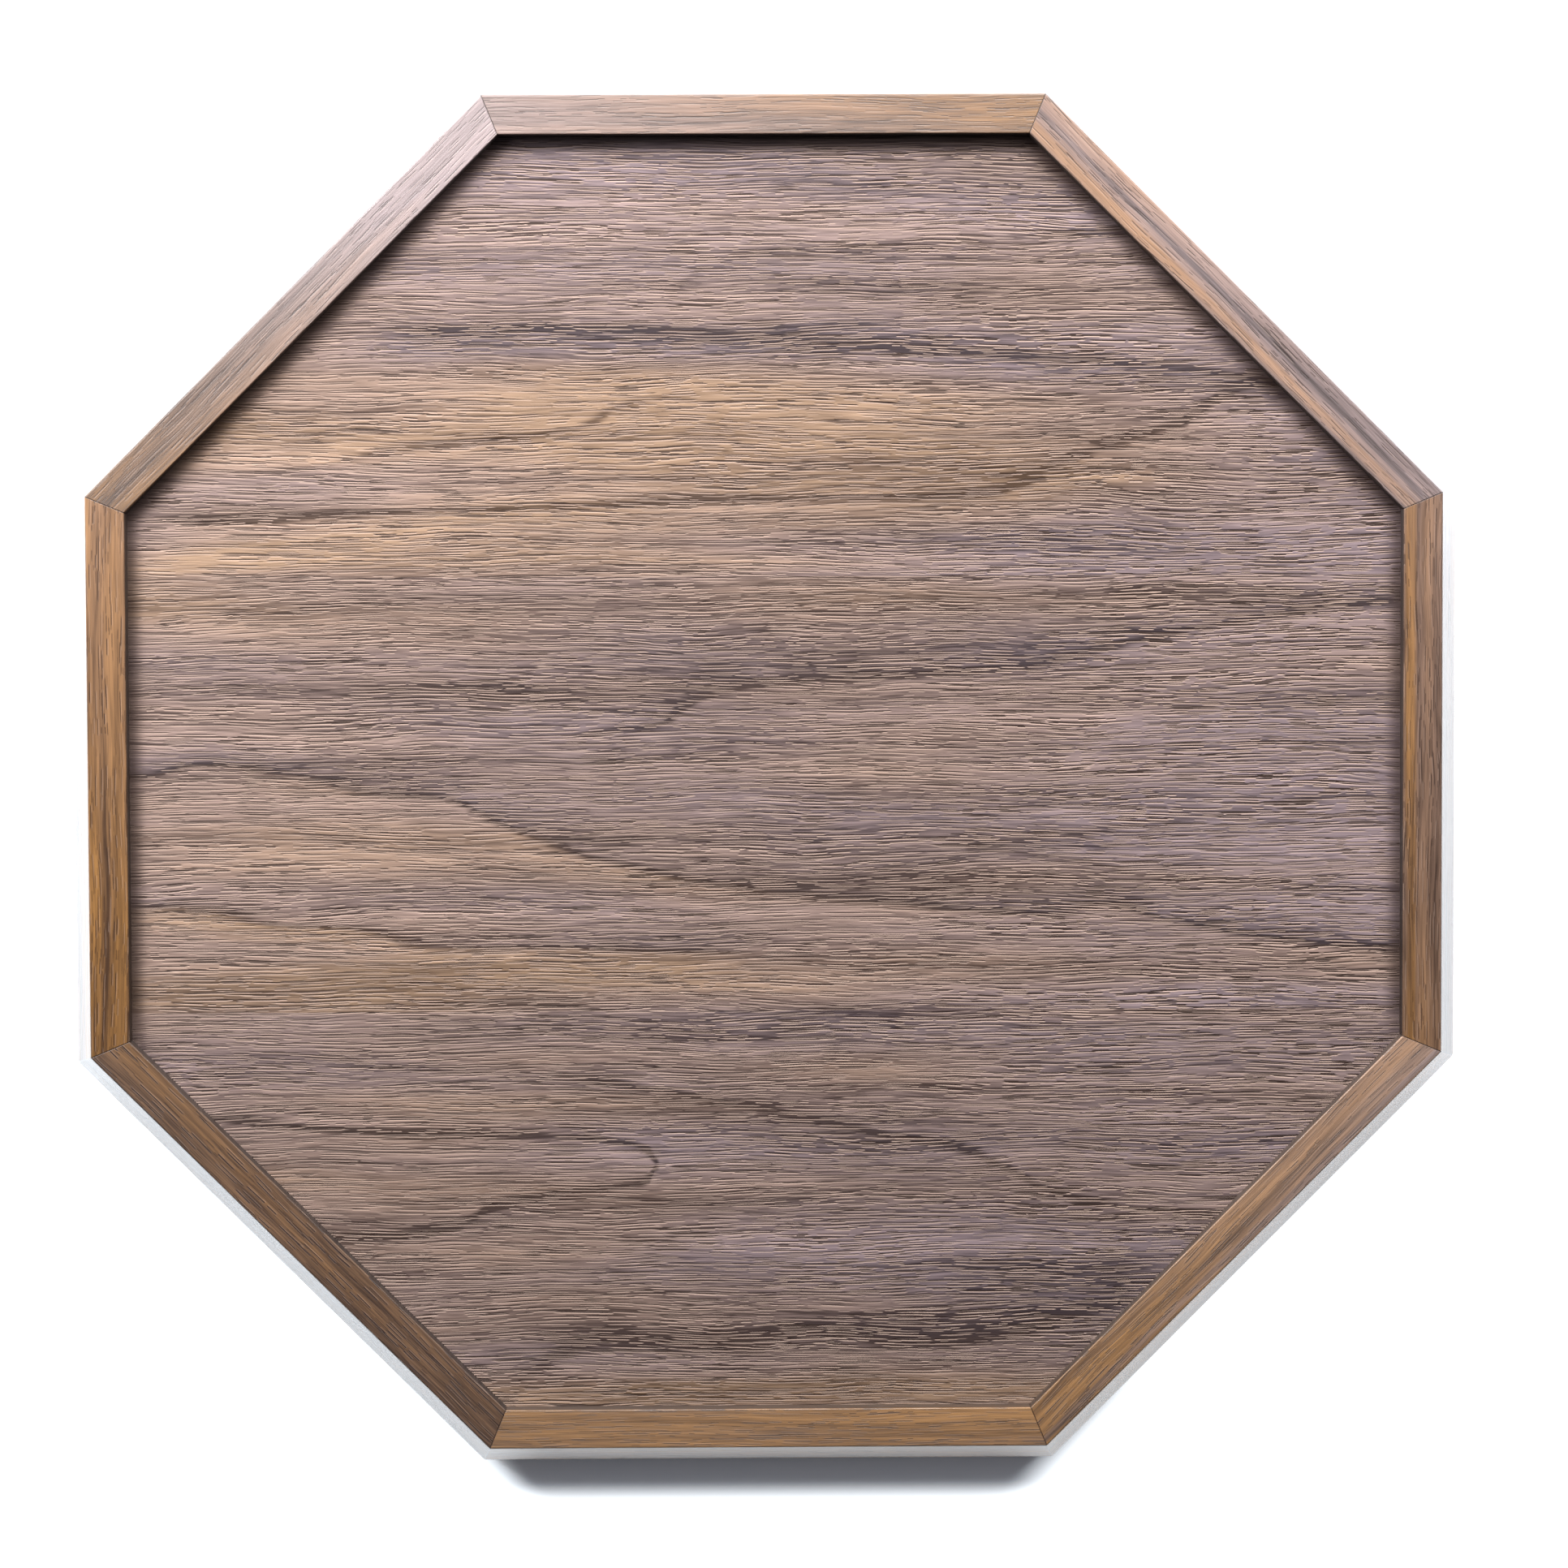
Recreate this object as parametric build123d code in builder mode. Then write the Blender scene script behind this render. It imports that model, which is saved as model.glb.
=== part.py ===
from build123d import *
import math
import os

# Octagonal crokinole board, lying face down on the rim of its ditch wall, so its
# back (the side that stands on the table in play) points up.
# Origin: centre of the rim that it lies on.  +Z up, flats square to X and Y.

# ---------------------------------------------------------------- dimensions, mm
ACROSS_FLATS = 766.0        # overall, flat to flat (a nominal 30 in board)
HEIGHT = 48.0               # rim edge to foot ring
SIDES = 8
HALF_ANGLE = 180.0 / SIDES  # mitre angle, degrees

FOOT_OUTER_R = 372.0        # flat foot ring, outer arris to centre
FOOT_INNER_R = 350.8        # flat foot ring, inner arris to centre
BEVEL_ANGLE = 26.0          # outer bevel below the foot ring, degrees from upright
BEVEL_BLEND_R = 14.0        # rounding where the bevel meets the upright wall
ARRIS_R = 1.2               # broken outer arris of the foot ring
WALL_INNER_R = 365.0        # ditch wall, inner face to centre
RIM_EASE = 2.5              # rounding of both rim arrises on the playing side
FOOT_EASE = 0.7             # broken inner arris of the foot ring
# hand-eased upright corners, anticlockwise from the one between east and north-east
CORNER_R = (4.0, 2.5, 2.5, 2.5, 6.0, 3.0, 4.0, 14.0)
RECESS = 12.0               # foot ring stands this far proud of the back
BACK_LEAF = 0.6             # veneer leaf on the back
CORE_T = 7.8                # base panel core
DITCH_LEAF = 0.6            # veneer on the ditch side of the base panel
GROOVE_R = 370.0            # base panel edge, seated in the rails' groove
SEAM_UPPER_Y = 109.4        # seams between the three back leaves
SEAM_LOWER_Y = -130.7

SURFACE_R = 330.0           # playing surface, 26 in across
SURFACE_CORE_T = 9.4
SURFACE_LEAF = 0.6
TWENTY_HOLE_D = 35.0        # centre hole
RING_R = (101.6, 203.2, 304.8)
LINE_W = 1.6
LINE_DEPTH = 0.4
PEG_COUNT = 8
PEG_CIRCLE_R = 101.6
PEG_ANGLE = 22.5            # first peg, degrees from +X
PEG_HEIGHT = 13.0           # above the playing surface
PEG_SLEEVE_OD = 8.6
PEG_SLEEVE_ID = 4.2
PEG_SHANK_D = 4.2
PEG_HEAD_D = 8.0
PEG_HEAD_T = 2.6
PEG_THREAD_D = 3.4
PEG_THREAD_L = 12.0

SPLINE_T = 3.0              # spline across each mitre
SPLINE_L = 9.0              # reach across the joint, both sides together
SPLINE_H = 22.0

# ---------------------------------------------------------------- derived
OUTER_R = ACROSS_FLATS / 2
BEVEL_A = math.radians(BEVEL_ANGLE)
BLEND_C_R = OUTER_R - BEVEL_BLEND_R
BEVEL_END_R = BLEND_C_R + BEVEL_BLEND_R * math.cos(BEVEL_A)
BEVEL_END_Z = HEIGHT - (BEVEL_END_R - FOOT_OUTER_R) / math.tan(BEVEL_A)
BLEND_C_Z = BEVEL_END_Z - BEVEL_BLEND_R * math.sin(BEVEL_A)
ARRIS_T = ARRIS_R * math.tan((math.pi / 2 - BEVEL_A) / 2)   # arris to its tangent points
Z_BACK = HEIGHT - RECESS                    # back veneer face
Z_CORE_TOP = Z_BACK - BACK_LEAF
Z_CORE_BOT = Z_CORE_TOP - CORE_T
Z_DITCH = Z_CORE_BOT - DITCH_LEAF           # ditch floor
Z_SURF_CORE = Z_DITCH - SURFACE_CORE_T
Z_PLAY = Z_SURF_CORE - SURFACE_LEAF         # playing face
COS = math.cos(math.radians(HALF_ANGLE))
TAN = math.tan(math.radians(HALF_ANGLE))
BITE = 1 - math.sqrt(0.5)                   # where a quarter round passes its corner
GROOVE_CIRC = GROOVE_R / COS
SPLINE_R = 372.6                            # spline centre, distance to the flats


def on_arc(centre_r, centre_z, radius, angle):
    return (centre_r + radius * math.cos(angle), centre_z + radius * math.sin(angle))


ARRIS_C = (FOOT_OUTER_R - ARRIS_T, HEIGHT - ARRIS_R)
ARRIS_END = on_arc(*ARRIS_C, ARRIS_R, BEVEL_A)

NAMES = ["rail_east", "rail_north_east", "rail_north", "rail_north_west",
         "rail_west", "rail_south_west", "rail_south", "rail_south_east"]

os.makedirs("parts", exist_ok=True)


def save(part, label):
    part.label = label
    export_step(part, "parts/" + label + ".step")


def spline_plane(i):
    # upright plane in the middle of mitre i, x across the joint, y up
    a = math.radians(HALF_ANGLE + 45.0 * i)
    c = SPLINE_R / COS
    return Plane(origin=(c * math.cos(a), c * math.sin(a), 0),
                 x_dir=(-math.sin(a), math.cos(a), 0),
                 z_dir=(0, 0, 1))


# ---------------------------------------------------------------- rails
rails = []
for i, rail_name in enumerate(NAMES):
    a = math.radians(45.0 * i)
    # section plane: x outwards from the centre, y up, normal along the rail
    section = Plane(origin=(0, 0, 0),
                    x_dir=(math.cos(a), math.sin(a), 0),
                    z_dir=(math.sin(a), -math.cos(a), 0))
    reach = 175.0
    with BuildPart() as rail:
        with BuildSketch(section):
            with BuildLine():
                Line((OUTER_R, BLEND_C_Z), (OUTER_R, RIM_EASE))
                ThreePointArc((OUTER_R, RIM_EASE),
                              (OUTER_R - RIM_EASE * BITE, RIM_EASE * BITE),
                              (OUTER_R - RIM_EASE, 0))
                Line((OUTER_R - RIM_EASE, 0), (WALL_INNER_R + RIM_EASE, 0))
                ThreePointArc((WALL_INNER_R + RIM_EASE, 0),
                              (WALL_INNER_R + RIM_EASE * BITE, RIM_EASE * BITE),
                              (WALL_INNER_R, RIM_EASE))
                Polyline((WALL_INNER_R, RIM_EASE), (WALL_INNER_R, Z_DITCH),
                         (GROOVE_R, Z_DITCH), (GROOVE_R, Z_BACK),
                         (FOOT_INNER_R, Z_BACK), (FOOT_INNER_R, HEIGHT - FOOT_EASE))
                ThreePointArc((FOOT_INNER_R, HEIGHT - FOOT_EASE),
                              (FOOT_INNER_R + FOOT_EASE * BITE, HEIGHT - FOOT_EASE * BITE),
                              (FOOT_INNER_R + FOOT_EASE, HEIGHT))
                Line((FOOT_INNER_R + FOOT_EASE, HEIGHT), (ARRIS_C[0], HEIGHT))
                ThreePointArc((ARRIS_C[0], HEIGHT),
                              on_arc(*ARRIS_C, ARRIS_R, (math.pi / 2 + BEVEL_A) / 2),
                              ARRIS_END)
                Line(ARRIS_END, (BEVEL_END_R, BEVEL_END_Z))
                ThreePointArc((BEVEL_END_R, BEVEL_END_Z),
                              on_arc(BLEND_C_R, BLEND_C_Z, BEVEL_BLEND_R, BEVEL_A / 2),
                              (OUTER_R, BLEND_C_Z))
            make_face()
        extrude(amount=reach, both=True)
        # mitres: keep the wedge between the two half-angle planes
        for s in (1, -1):
            m = a + s * math.radians(HALF_ANGLE)
            split(bisect_by=Plane(origin=(0, 0, 0),
                                  z_dir=(-s * math.sin(m), s * math.cos(m), 0)),
                  keep=Keep.BOTTOM)
        # eased upright corners of the whole octagon
        with BuildSketch(Plane.XY):
            RegularPolygon(radius=OUTER_R / COS, side_count=SIDES, rotation=HALF_ANGLE)
            for k, corner_r in enumerate(CORNER_R):
                c = math.radians(HALF_ANGLE + 45.0 * k)
                corner = Vector(OUTER_R / COS * math.cos(c), OUTER_R / COS * math.sin(c))
                fillet(vertices().sort_by_distance(corner)[0], radius=corner_r)
        extrude(amount=HEIGHT, mode=Mode.INTERSECT)
        # blind slots for the mitre splines
        for k in (i, i - 1):
            with BuildSketch(spline_plane(k).offset(Z_DITCH - SPLINE_H - 1.0)):
                Rectangle(SPLINE_L, SPLINE_T)
            extrude(amount=SPLINE_H, mode=Mode.SUBTRACT)
    save(rail.part, rail_name)
    rails.append(rail.part)

# ---------------------------------------------------------------- mitre splines
with BuildPart() as mitre_splines:
    for k in range(SIDES):
        with BuildSketch(spline_plane(k).offset(Z_DITCH - SPLINE_H - 1.0)):
            Rectangle(SPLINE_L, SPLINE_T)
        extrude(amount=SPLINE_H)
save(mitre_splines.part, "mitre_splines")

# ---------------------------------------------------------------- base panel
with BuildPart() as base_core:
    with BuildSketch(Plane.XY.offset(Z_CORE_BOT)):
        RegularPolygon(radius=GROOVE_CIRC, side_count=SIDES, rotation=HALF_ANGLE)
    extrude(amount=CORE_T)
    with BuildSketch(Plane.XY.offset(Z_CORE_BOT)):
        with PolarLocations(PEG_CIRCLE_R, PEG_COUNT, start_angle=PEG_ANGLE):
            Circle(PEG_THREAD_D / 2)
    extrude(amount=PEG_THREAD_L - SURFACE_LEAF - SURFACE_CORE_T - DITCH_LEAF,
            mode=Mode.SUBTRACT)
save(base_core.part, "base_core")

with BuildPart() as ditch_veneer:
    with BuildSketch(Plane.XY.offset(Z_DITCH)):
        RegularPolygon(radius=GROOVE_CIRC, side_count=SIDES, rotation=HALF_ANGLE)
        with PolarLocations(PEG_CIRCLE_R, PEG_COUNT, start_angle=PEG_ANGLE):
            Circle(PEG_THREAD_D / 2, mode=Mode.SUBTRACT)
    extrude(amount=DITCH_LEAF)
save(ditch_veneer.part, "ditch_veneer")

# three book-laid leaves on the back, split at two straight seams
LEAVES = {
    "back_veneer_upper": (SEAM_UPPER_Y, GROOVE_R + 1),
    "back_veneer_middle": (SEAM_LOWER_Y, SEAM_UPPER_Y),
    "back_veneer_lower": (-GROOVE_R - 1, SEAM_LOWER_Y),
}
for leaf_name, (y0, y1) in LEAVES.items():
    with BuildPart() as leaf:
        with BuildSketch(Plane.XY.offset(Z_CORE_TOP)):
            RegularPolygon(radius=GROOVE_CIRC, side_count=SIDES, rotation=HALF_ANGLE)
            with Locations((0, (y0 + y1) / 2)):
                Rectangle(2 * GROOVE_CIRC, y1 - y0, mode=Mode.INTERSECT)
        extrude(amount=BACK_LEAF)
    save(leaf.part, leaf_name)

# ---------------------------------------------------------------- playing surface
with BuildPart() as playing_surface_core:
    with BuildSketch(Plane.XY.offset(Z_SURF_CORE)):
        Circle(SURFACE_R)
        Circle(TWENTY_HOLE_D / 2, mode=Mode.SUBTRACT)
        with PolarLocations(PEG_CIRCLE_R, PEG_COUNT, start_angle=PEG_ANGLE):
            Circle(PEG_THREAD_D / 2, mode=Mode.SUBTRACT)
    extrude(amount=SURFACE_CORE_T)
save(playing_surface_core.part, "playing_surface_core")

with BuildPart() as playing_surface_veneer:
    with BuildSketch(Plane.XY.offset(Z_PLAY)):
        Circle(SURFACE_R)
        Circle(TWENTY_HOLE_D / 2, mode=Mode.SUBTRACT)
        with PolarLocations(PEG_CIRCLE_R, PEG_COUNT, start_angle=PEG_ANGLE):
            Circle(PEG_THREAD_D / 2, mode=Mode.SUBTRACT)
    extrude(amount=SURFACE_LEAF)
    # shallow scored grooves for the rings and the quadrant lines
    for r in RING_R:
        with BuildSketch(Plane.XY.offset(Z_PLAY)):
            Circle(r + LINE_W / 2)
            Circle(r - LINE_W / 2, mode=Mode.SUBTRACT)
        extrude(amount=LINE_DEPTH, mode=Mode.SUBTRACT)
    with BuildSketch(Plane.XY.offset(Z_PLAY)):
        with PolarLocations((RING_R[1] + RING_R[2]) / 2, 4, start_angle=45):
            Rectangle(RING_R[2] - RING_R[1], LINE_W)
    extrude(amount=LINE_DEPTH, mode=Mode.SUBTRACT)
save(playing_surface_veneer.part, "playing_surface_veneer")

# filled lines, flush with the playing face
for r, line_name in zip(RING_R, ("inner_ring_line", "middle_ring_line", "outer_ring_line")):
    with BuildPart() as ring_line:
        with BuildSketch(Plane.XY.offset(Z_PLAY)):
            Circle(r + LINE_W / 2)
            Circle(r - LINE_W / 2, mode=Mode.SUBTRACT)
            if r == PEG_CIRCLE_R:
                with PolarLocations(PEG_CIRCLE_R, PEG_COUNT, start_angle=PEG_ANGLE):
                    Circle(PEG_THREAD_D / 2, mode=Mode.SUBTRACT)
        extrude(amount=LINE_DEPTH)
    save(ring_line.part, line_name)

with BuildPart() as quadrant_lines:
    with BuildSketch(Plane.XY.offset(Z_PLAY)):
        with PolarLocations((RING_R[1] + RING_R[2]) / 2, 4, start_angle=45):
            Rectangle(RING_R[2] - RING_R[1], LINE_W)
        Circle(RING_R[1] + LINE_W / 2, mode=Mode.SUBTRACT)
        with BuildSketch(mode=Mode.INTERSECT):
            Circle(RING_R[2] - LINE_W / 2)
    extrude(amount=LINE_DEPTH)
save(quadrant_lines.part, "quadrant_lines")

# ---------------------------------------------------------------- pegs
Z_HEAD = Z_PLAY - PEG_HEIGHT
Z_SHANK = Z_HEAD + PEG_HEAD_T
with BuildPart() as peg_screws:
    with BuildSketch(Plane.XY.offset(Z_HEAD)):
        with PolarLocations(PEG_CIRCLE_R, PEG_COUNT, start_angle=PEG_ANGLE):
            Circle(PEG_HEAD_D / 2)
    extrude(amount=PEG_HEAD_T)
    # domed heads with a crossed driver recess
    fillet(edges().filter_by(GeomType.CIRCLE).group_by(Axis.Z)[0], radius=1.5)
    with BuildSketch(Plane.XY.offset(Z_HEAD)):
        with PolarLocations(PEG_CIRCLE_R, PEG_COUNT, start_angle=PEG_ANGLE):
            Rectangle(3.6, 0.9)
            Rectangle(0.9, 3.6)
    extrude(amount=1.3, mode=Mode.SUBTRACT)
    with BuildSketch(Plane.XY.offset(Z_SHANK)):
        with PolarLocations(PEG_CIRCLE_R, PEG_COUNT, start_angle=PEG_ANGLE):
            Circle(PEG_SHANK_D / 2)
    extrude(amount=Z_PLAY - Z_SHANK)
    with BuildSketch(Plane.XY.offset(Z_PLAY)):
        with PolarLocations(PEG_CIRCLE_R, PEG_COUNT, start_angle=PEG_ANGLE):
            Circle(PEG_THREAD_D / 2)
    extrude(amount=PEG_THREAD_L)
    chamfer(edges().filter_by(GeomType.CIRCLE).group_by(Axis.Z)[-1], length=0.9)
save(peg_screws.part, "peg_screws")

with BuildPart() as peg_sleeves:
    with BuildSketch(Plane.XY.offset(Z_SHANK)):
        with PolarLocations(PEG_CIRCLE_R, PEG_COUNT, start_angle=PEG_ANGLE):
            Circle(PEG_SLEEVE_OD / 2)
            Circle(PEG_SLEEVE_ID / 2, mode=Mode.SUBTRACT)
    extrude(amount=Z_PLAY - Z_SHANK)
save(peg_sleeves.part, "peg_sleeves")
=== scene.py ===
"""Looks for the crokinole board: lying back up on a pale floor, in soft light that comes mostly from the north.

Every length in the materials is in millimetres of the board's own frame, and every object is in metres.
"""

import math

import bpy
from mathutils import Euler, Matrix, Vector


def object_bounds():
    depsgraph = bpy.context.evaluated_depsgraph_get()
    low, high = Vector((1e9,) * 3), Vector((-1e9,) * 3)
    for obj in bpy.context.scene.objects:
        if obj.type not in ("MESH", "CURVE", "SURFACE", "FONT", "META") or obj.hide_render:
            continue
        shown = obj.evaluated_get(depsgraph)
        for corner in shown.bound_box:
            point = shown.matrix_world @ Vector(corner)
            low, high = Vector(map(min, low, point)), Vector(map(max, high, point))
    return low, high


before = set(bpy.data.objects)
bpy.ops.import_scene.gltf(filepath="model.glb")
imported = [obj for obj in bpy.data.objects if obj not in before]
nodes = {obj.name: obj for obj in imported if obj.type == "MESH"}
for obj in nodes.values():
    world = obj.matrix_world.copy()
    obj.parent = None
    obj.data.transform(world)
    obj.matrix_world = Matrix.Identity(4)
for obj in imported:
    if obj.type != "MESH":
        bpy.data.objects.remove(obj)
cad_low, cad_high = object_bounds()
scene = bpy.context.scene

MM = 1000.0
RAILS = [
    "rail_east",
    "rail_north_east",
    "rail_north",
    "rail_north_west",
    "rail_west",
    "rail_south_west",
    "rail_south",
    "rail_south_east",
]


# --------------------------------------------------------------------------
# A small helper that writes node graphs
# --------------------------------------------------------------------------
class Graph:
    """Node graph of one material. Values are sockets or plain numbers."""

    def __init__(self, name):
        self.material = bpy.data.materials.new(name)
        self.material.use_nodes = True
        self.tree = self.material.node_tree
        self.tree.nodes.clear()
        self.output = self.tree.nodes.new("ShaderNodeOutputMaterial")

    def new(self, kind, **props):
        node = self.tree.nodes.new(kind)
        for key, value in props.items():
            setattr(node, key, value)
        return node

    def put(self, socket, value):
        if isinstance(value, bpy.types.NodeSocket):
            self.tree.links.new(value, socket)
        elif isinstance(value, (tuple, list)) and socket.type == "RGBA":
            socket.default_value = (*value, 1.0)[:4]
        else:
            socket.default_value = value

    def math(self, op, a, b=None, c=None, clamp=False):
        node = self.new("ShaderNodeMath", operation=op, use_clamp=clamp)
        self.put(node.inputs[0], a)
        if b is not None:
            self.put(node.inputs[1], b)
        if c is not None:
            self.put(node.inputs[2], c)
        return node.outputs[0]

    def add(self, a, b):
        return self.math("ADD", a, b)

    def sub(self, a, b):
        return self.math("SUBTRACT", a, b)

    def mul(self, a, b):
        return self.math("MULTIPLY", a, b)

    def fma(self, a, b, c):
        return self.math("MULTIPLY_ADD", a, b, c)

    def absolute(self, a):
        return self.math("ABSOLUTE", a)

    def ramp(self, value, a, b, lo=0.0, hi=1.0, smooth=True):
        """lo before a, hi after b, a smooth step between them."""
        node = self.new(
            "ShaderNodeMapRange",
            interpolation_type="SMOOTHSTEP" if smooth else "LINEAR",
            clamp=True,
        )
        self.put(node.inputs[0], value)
        if a > b:
            a, b, lo, hi = b, a, hi, lo
        for i, v in enumerate((a, b, lo, hi)):
            node.inputs[i + 1].default_value = v
        return node.outputs[0]

    def mix(self, fac, a, b, blend="MIX"):
        node = self.new("ShaderNodeMix", data_type="RGBA", blend_type=blend)
        self.put(node.inputs[0], fac)
        self.put(node.inputs[6], a)
        self.put(node.inputs[7], b)
        return node.outputs[2]

    def combine(self, x, y, z):
        node = self.new("ShaderNodeCombineXYZ")
        for i, v in enumerate((x, y, z)):
            self.put(node.inputs[i], v)
        return node.outputs[0]

    def split(self, vector):
        node = self.new("ShaderNodeSeparateXYZ")
        self.put(node.inputs[0], vector)
        return node.outputs[0], node.outputs[1], node.outputs[2]

    def stretch(self, vector, sizes, shift=(0.0, 0.0, 0.0)):
        """vector divided by sizes, and moved, so that one unit is one feature."""
        node = self.new("ShaderNodeMapping", vector_type="POINT")
        self.put(node.inputs[0], vector)
        node.inputs[1].default_value = shift
        node.inputs[3].default_value = tuple(1.0 / s for s in sizes)
        return node.outputs[0]

    def noise(self, vector, detail=2.0, rough=0.5, distortion=0.0, scale=1.0, flat=False):
        node = self.new("ShaderNodeTexNoise", noise_dimensions="2D" if flat else "3D")
        self.put(node.inputs["Vector"], vector)
        node.inputs["Scale"].default_value = scale
        node.inputs["Detail"].default_value = detail
        node.inputs["Roughness"].default_value = rough
        node.inputs["Distortion"].default_value = distortion
        return node.outputs[0]

    def cells(self, vector, randomness=1.0, flat=False):
        """Distance to the nearest cell point, and that cell's random colour."""
        node = self.new(
            "ShaderNodeTexVoronoi", voronoi_dimensions="2D" if flat else "3D", feature="F1"
        )
        self.put(node.inputs["Vector"], vector)
        node.inputs["Scale"].default_value = 1.0
        node.inputs["Randomness"].default_value = randomness
        return node.outputs["Distance"], node.outputs["Color"]

    def line(self, x, points, reach=400.0):
        """y of a smooth line through points, at x, both in mm within -reach and reach."""
        node = self.new("ShaderNodeFloatCurve")
        pts = sorted(points)
        curve = node.mapping.curves[0]
        norm = [((a + reach) / (2 * reach), (b + reach) / (2 * reach)) for a, b in pts]
        norm = [(0.0, norm[0][1])] * (norm[0][0] > 0.002) + norm
        norm = norm + [(1.0, norm[-1][1])] * (norm[-1][0] < 0.998)
        while len(curve.points) < len(norm):
            curve.points.new(0.5, 0.5)
        for p, (a, b) in zip(curve.points, norm):
            p.location = (a, b)
            p.handle_type = "AUTO_CLAMPED"
        node.mapping.use_clip = False
        node.mapping.update()
        self.put(node.inputs["Value"], self.fma(x, 0.5 / reach, 0.5))
        return self.fma(node.outputs[0], 2 * reach, -reach)

    def bump(self, height, distance, strength=1.0, normal=None):
        node = self.new("ShaderNodeBump")
        node.inputs["Strength"].default_value = strength
        node.inputs["Distance"].default_value = distance
        self.put(node.inputs["Height"], height)
        if normal is not None:
            self.put(node.inputs["Normal"], normal)
        return node.outputs[0]

    def principled(self, color, rough, normal=None, **values):
        node = self.new("ShaderNodeBsdfPrincipled")
        self.put(node.inputs["Base Color"], color)
        self.put(node.inputs["Roughness"], rough)
        if normal is not None:
            self.put(node.inputs["Normal"], normal)
        for key, value in values.items():
            self.put(node.inputs[key.replace("_", " ")], value)
        self.tree.links.new(node.outputs[0], self.output.inputs[0])
        return node

    def board_mm(self, turn=0.0):
        """The board's own coordinates in mm, turned by -turn degrees about Z."""
        coord = self.new("ShaderNodeTexCoord")
        node = self.new("ShaderNodeMapping", vector_type="POINT")
        self.put(node.inputs[0], coord.outputs["Object"])
        node.inputs[2].default_value = (0.0, 0.0, math.radians(-turn))
        node.inputs[3].default_value = (MM, MM, MM)
        return node.outputs[0]


def paint(material, *names):
    for name in names:
        data = nodes[name].data
        data.materials.clear()
        data.materials.append(material)


# --------------------------------------------------------------------------
# Wood
# --------------------------------------------------------------------------
def grain(g, u, v, w, seed, wave=9.0, wave_length=190.0):
    """Fields that follow the grain. u runs along it; v and w run across it. w is None on a flat leaf."""
    flat = w is None
    place = g.combine(u, v, 0.0 if flat else w)
    sx, sy, sz = seed * 7.31, seed * 3.17, seed * 1.93
    broad = g.noise(g.stretch(place, (wave_length, 46, 46), (sx, sy, sz)), 1.0, flat=flat)
    small = g.noise(g.stretch(place, (60, 12, 12), (sz, sx, sy)), 1.0, flat=flat)
    across = g.fma(g.sub(broad, 0.5), wave, v)
    across = g.fma(g.sub(small, 0.5), 2.4, across)
    along = g.combine(u, across, 0.0 if flat else w)
    fields = {"across": across, "place": along, "flat": flat}
    fields["bands"] = g.noise(
        g.stretch(along, (330, 15, 15), (sy, sx, sz)), 1.0, 0.55, flat=flat
    )
    fields["streaks"] = g.noise(
        g.stretch(along, (120, 3.4, 3.4), (sz, sy, sx)), 2.0, 0.62, flat=flat
    )
    fields["fibres"] = g.noise(
        g.stretch(along, (26, 0.95, 0.95), (sx, sz, sy)), 1.0, 0.6, flat=flat
    )
    return fields


def pores(g, f, seed, sizes, radius, soft=0.10, keep=0.75):
    """Short dark vessels: 1 inside a pore, 0 between them."""
    shift = (seed * 2.7, seed * 5.9, seed * 4.3)
    distance, color = g.cells(g.stretch(f["place"], sizes, shift), flat=f["flat"])
    pick = g.split(color)
    size = g.fma(pick[0], 0.55, 0.55)
    edge = g.math("DIVIDE", distance, size)
    hole = g.ramp(edge, radius + soft, radius - soft)
    return g.mul(hole, g.ramp(pick[1], 1 - keep - 0.05, 1 - keep + 0.05))


def vessels(g, f, seed, sizes, length, wide=0.26, soft=0.14, keep=0.8, tilt=0.5, glint=0.55):
    """Open pores on a flat leaf: a thin dark cut, and a painted highlight on its edge just below it. sizes and
    widths in mm.
    """
    shift = (seed * 2.7, seed * 5.9, 0.0)
    node = g.new("ShaderNodeTexVoronoi", voronoi_dimensions="2D", feature="F1")
    node.inputs["Scale"].default_value = 1.0
    node.inputs["Randomness"].default_value = 1.0
    place = g.stretch(f["place"], (sizes[0], sizes[1], 1.0), shift)
    g.put(node.inputs["Vector"], place)
    off = g.new("ShaderNodeVectorMath", operation="SUBTRACT")
    g.put(off.inputs[0], place)
    g.put(off.inputs[1], node.outputs["Position"])
    dx, dy, _ = g.split(off.outputs[0])
    pick = g.split(node.outputs["Color"])
    reach = g.fma(pick[0], length, length * 0.35)
    body = g.math("DIVIDE", g.absolute(dx), reach)
    body = g.mul(g.ramp(body, 1.0, 0.72), g.ramp(pick[1], 1 - keep - 0.03, 1 - keep + 0.03))
    lean = g.mul(g.mul(g.sub(pick[2], 0.5), tilt), dx)
    side = g.fma(dy, sizes[1], lean)
    dark = g.mul(g.ramp(g.absolute(side), wide + soft, wide - soft), body)
    # Painted highlight: a light line just below each pore, where light from the north would catch its edge.
    lit = g.mul(g.ramp(g.absolute(g.add(side, wide + glint * 0.5)), glint * 0.75, glint * 0.25), body)
    return dark, lit


def mask_x(g, x, x0, x1, fade):
    return g.mul(g.ramp(x, x0 - fade, x0 + fade), g.ramp(x, x1 + fade, x1 - fade))


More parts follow.
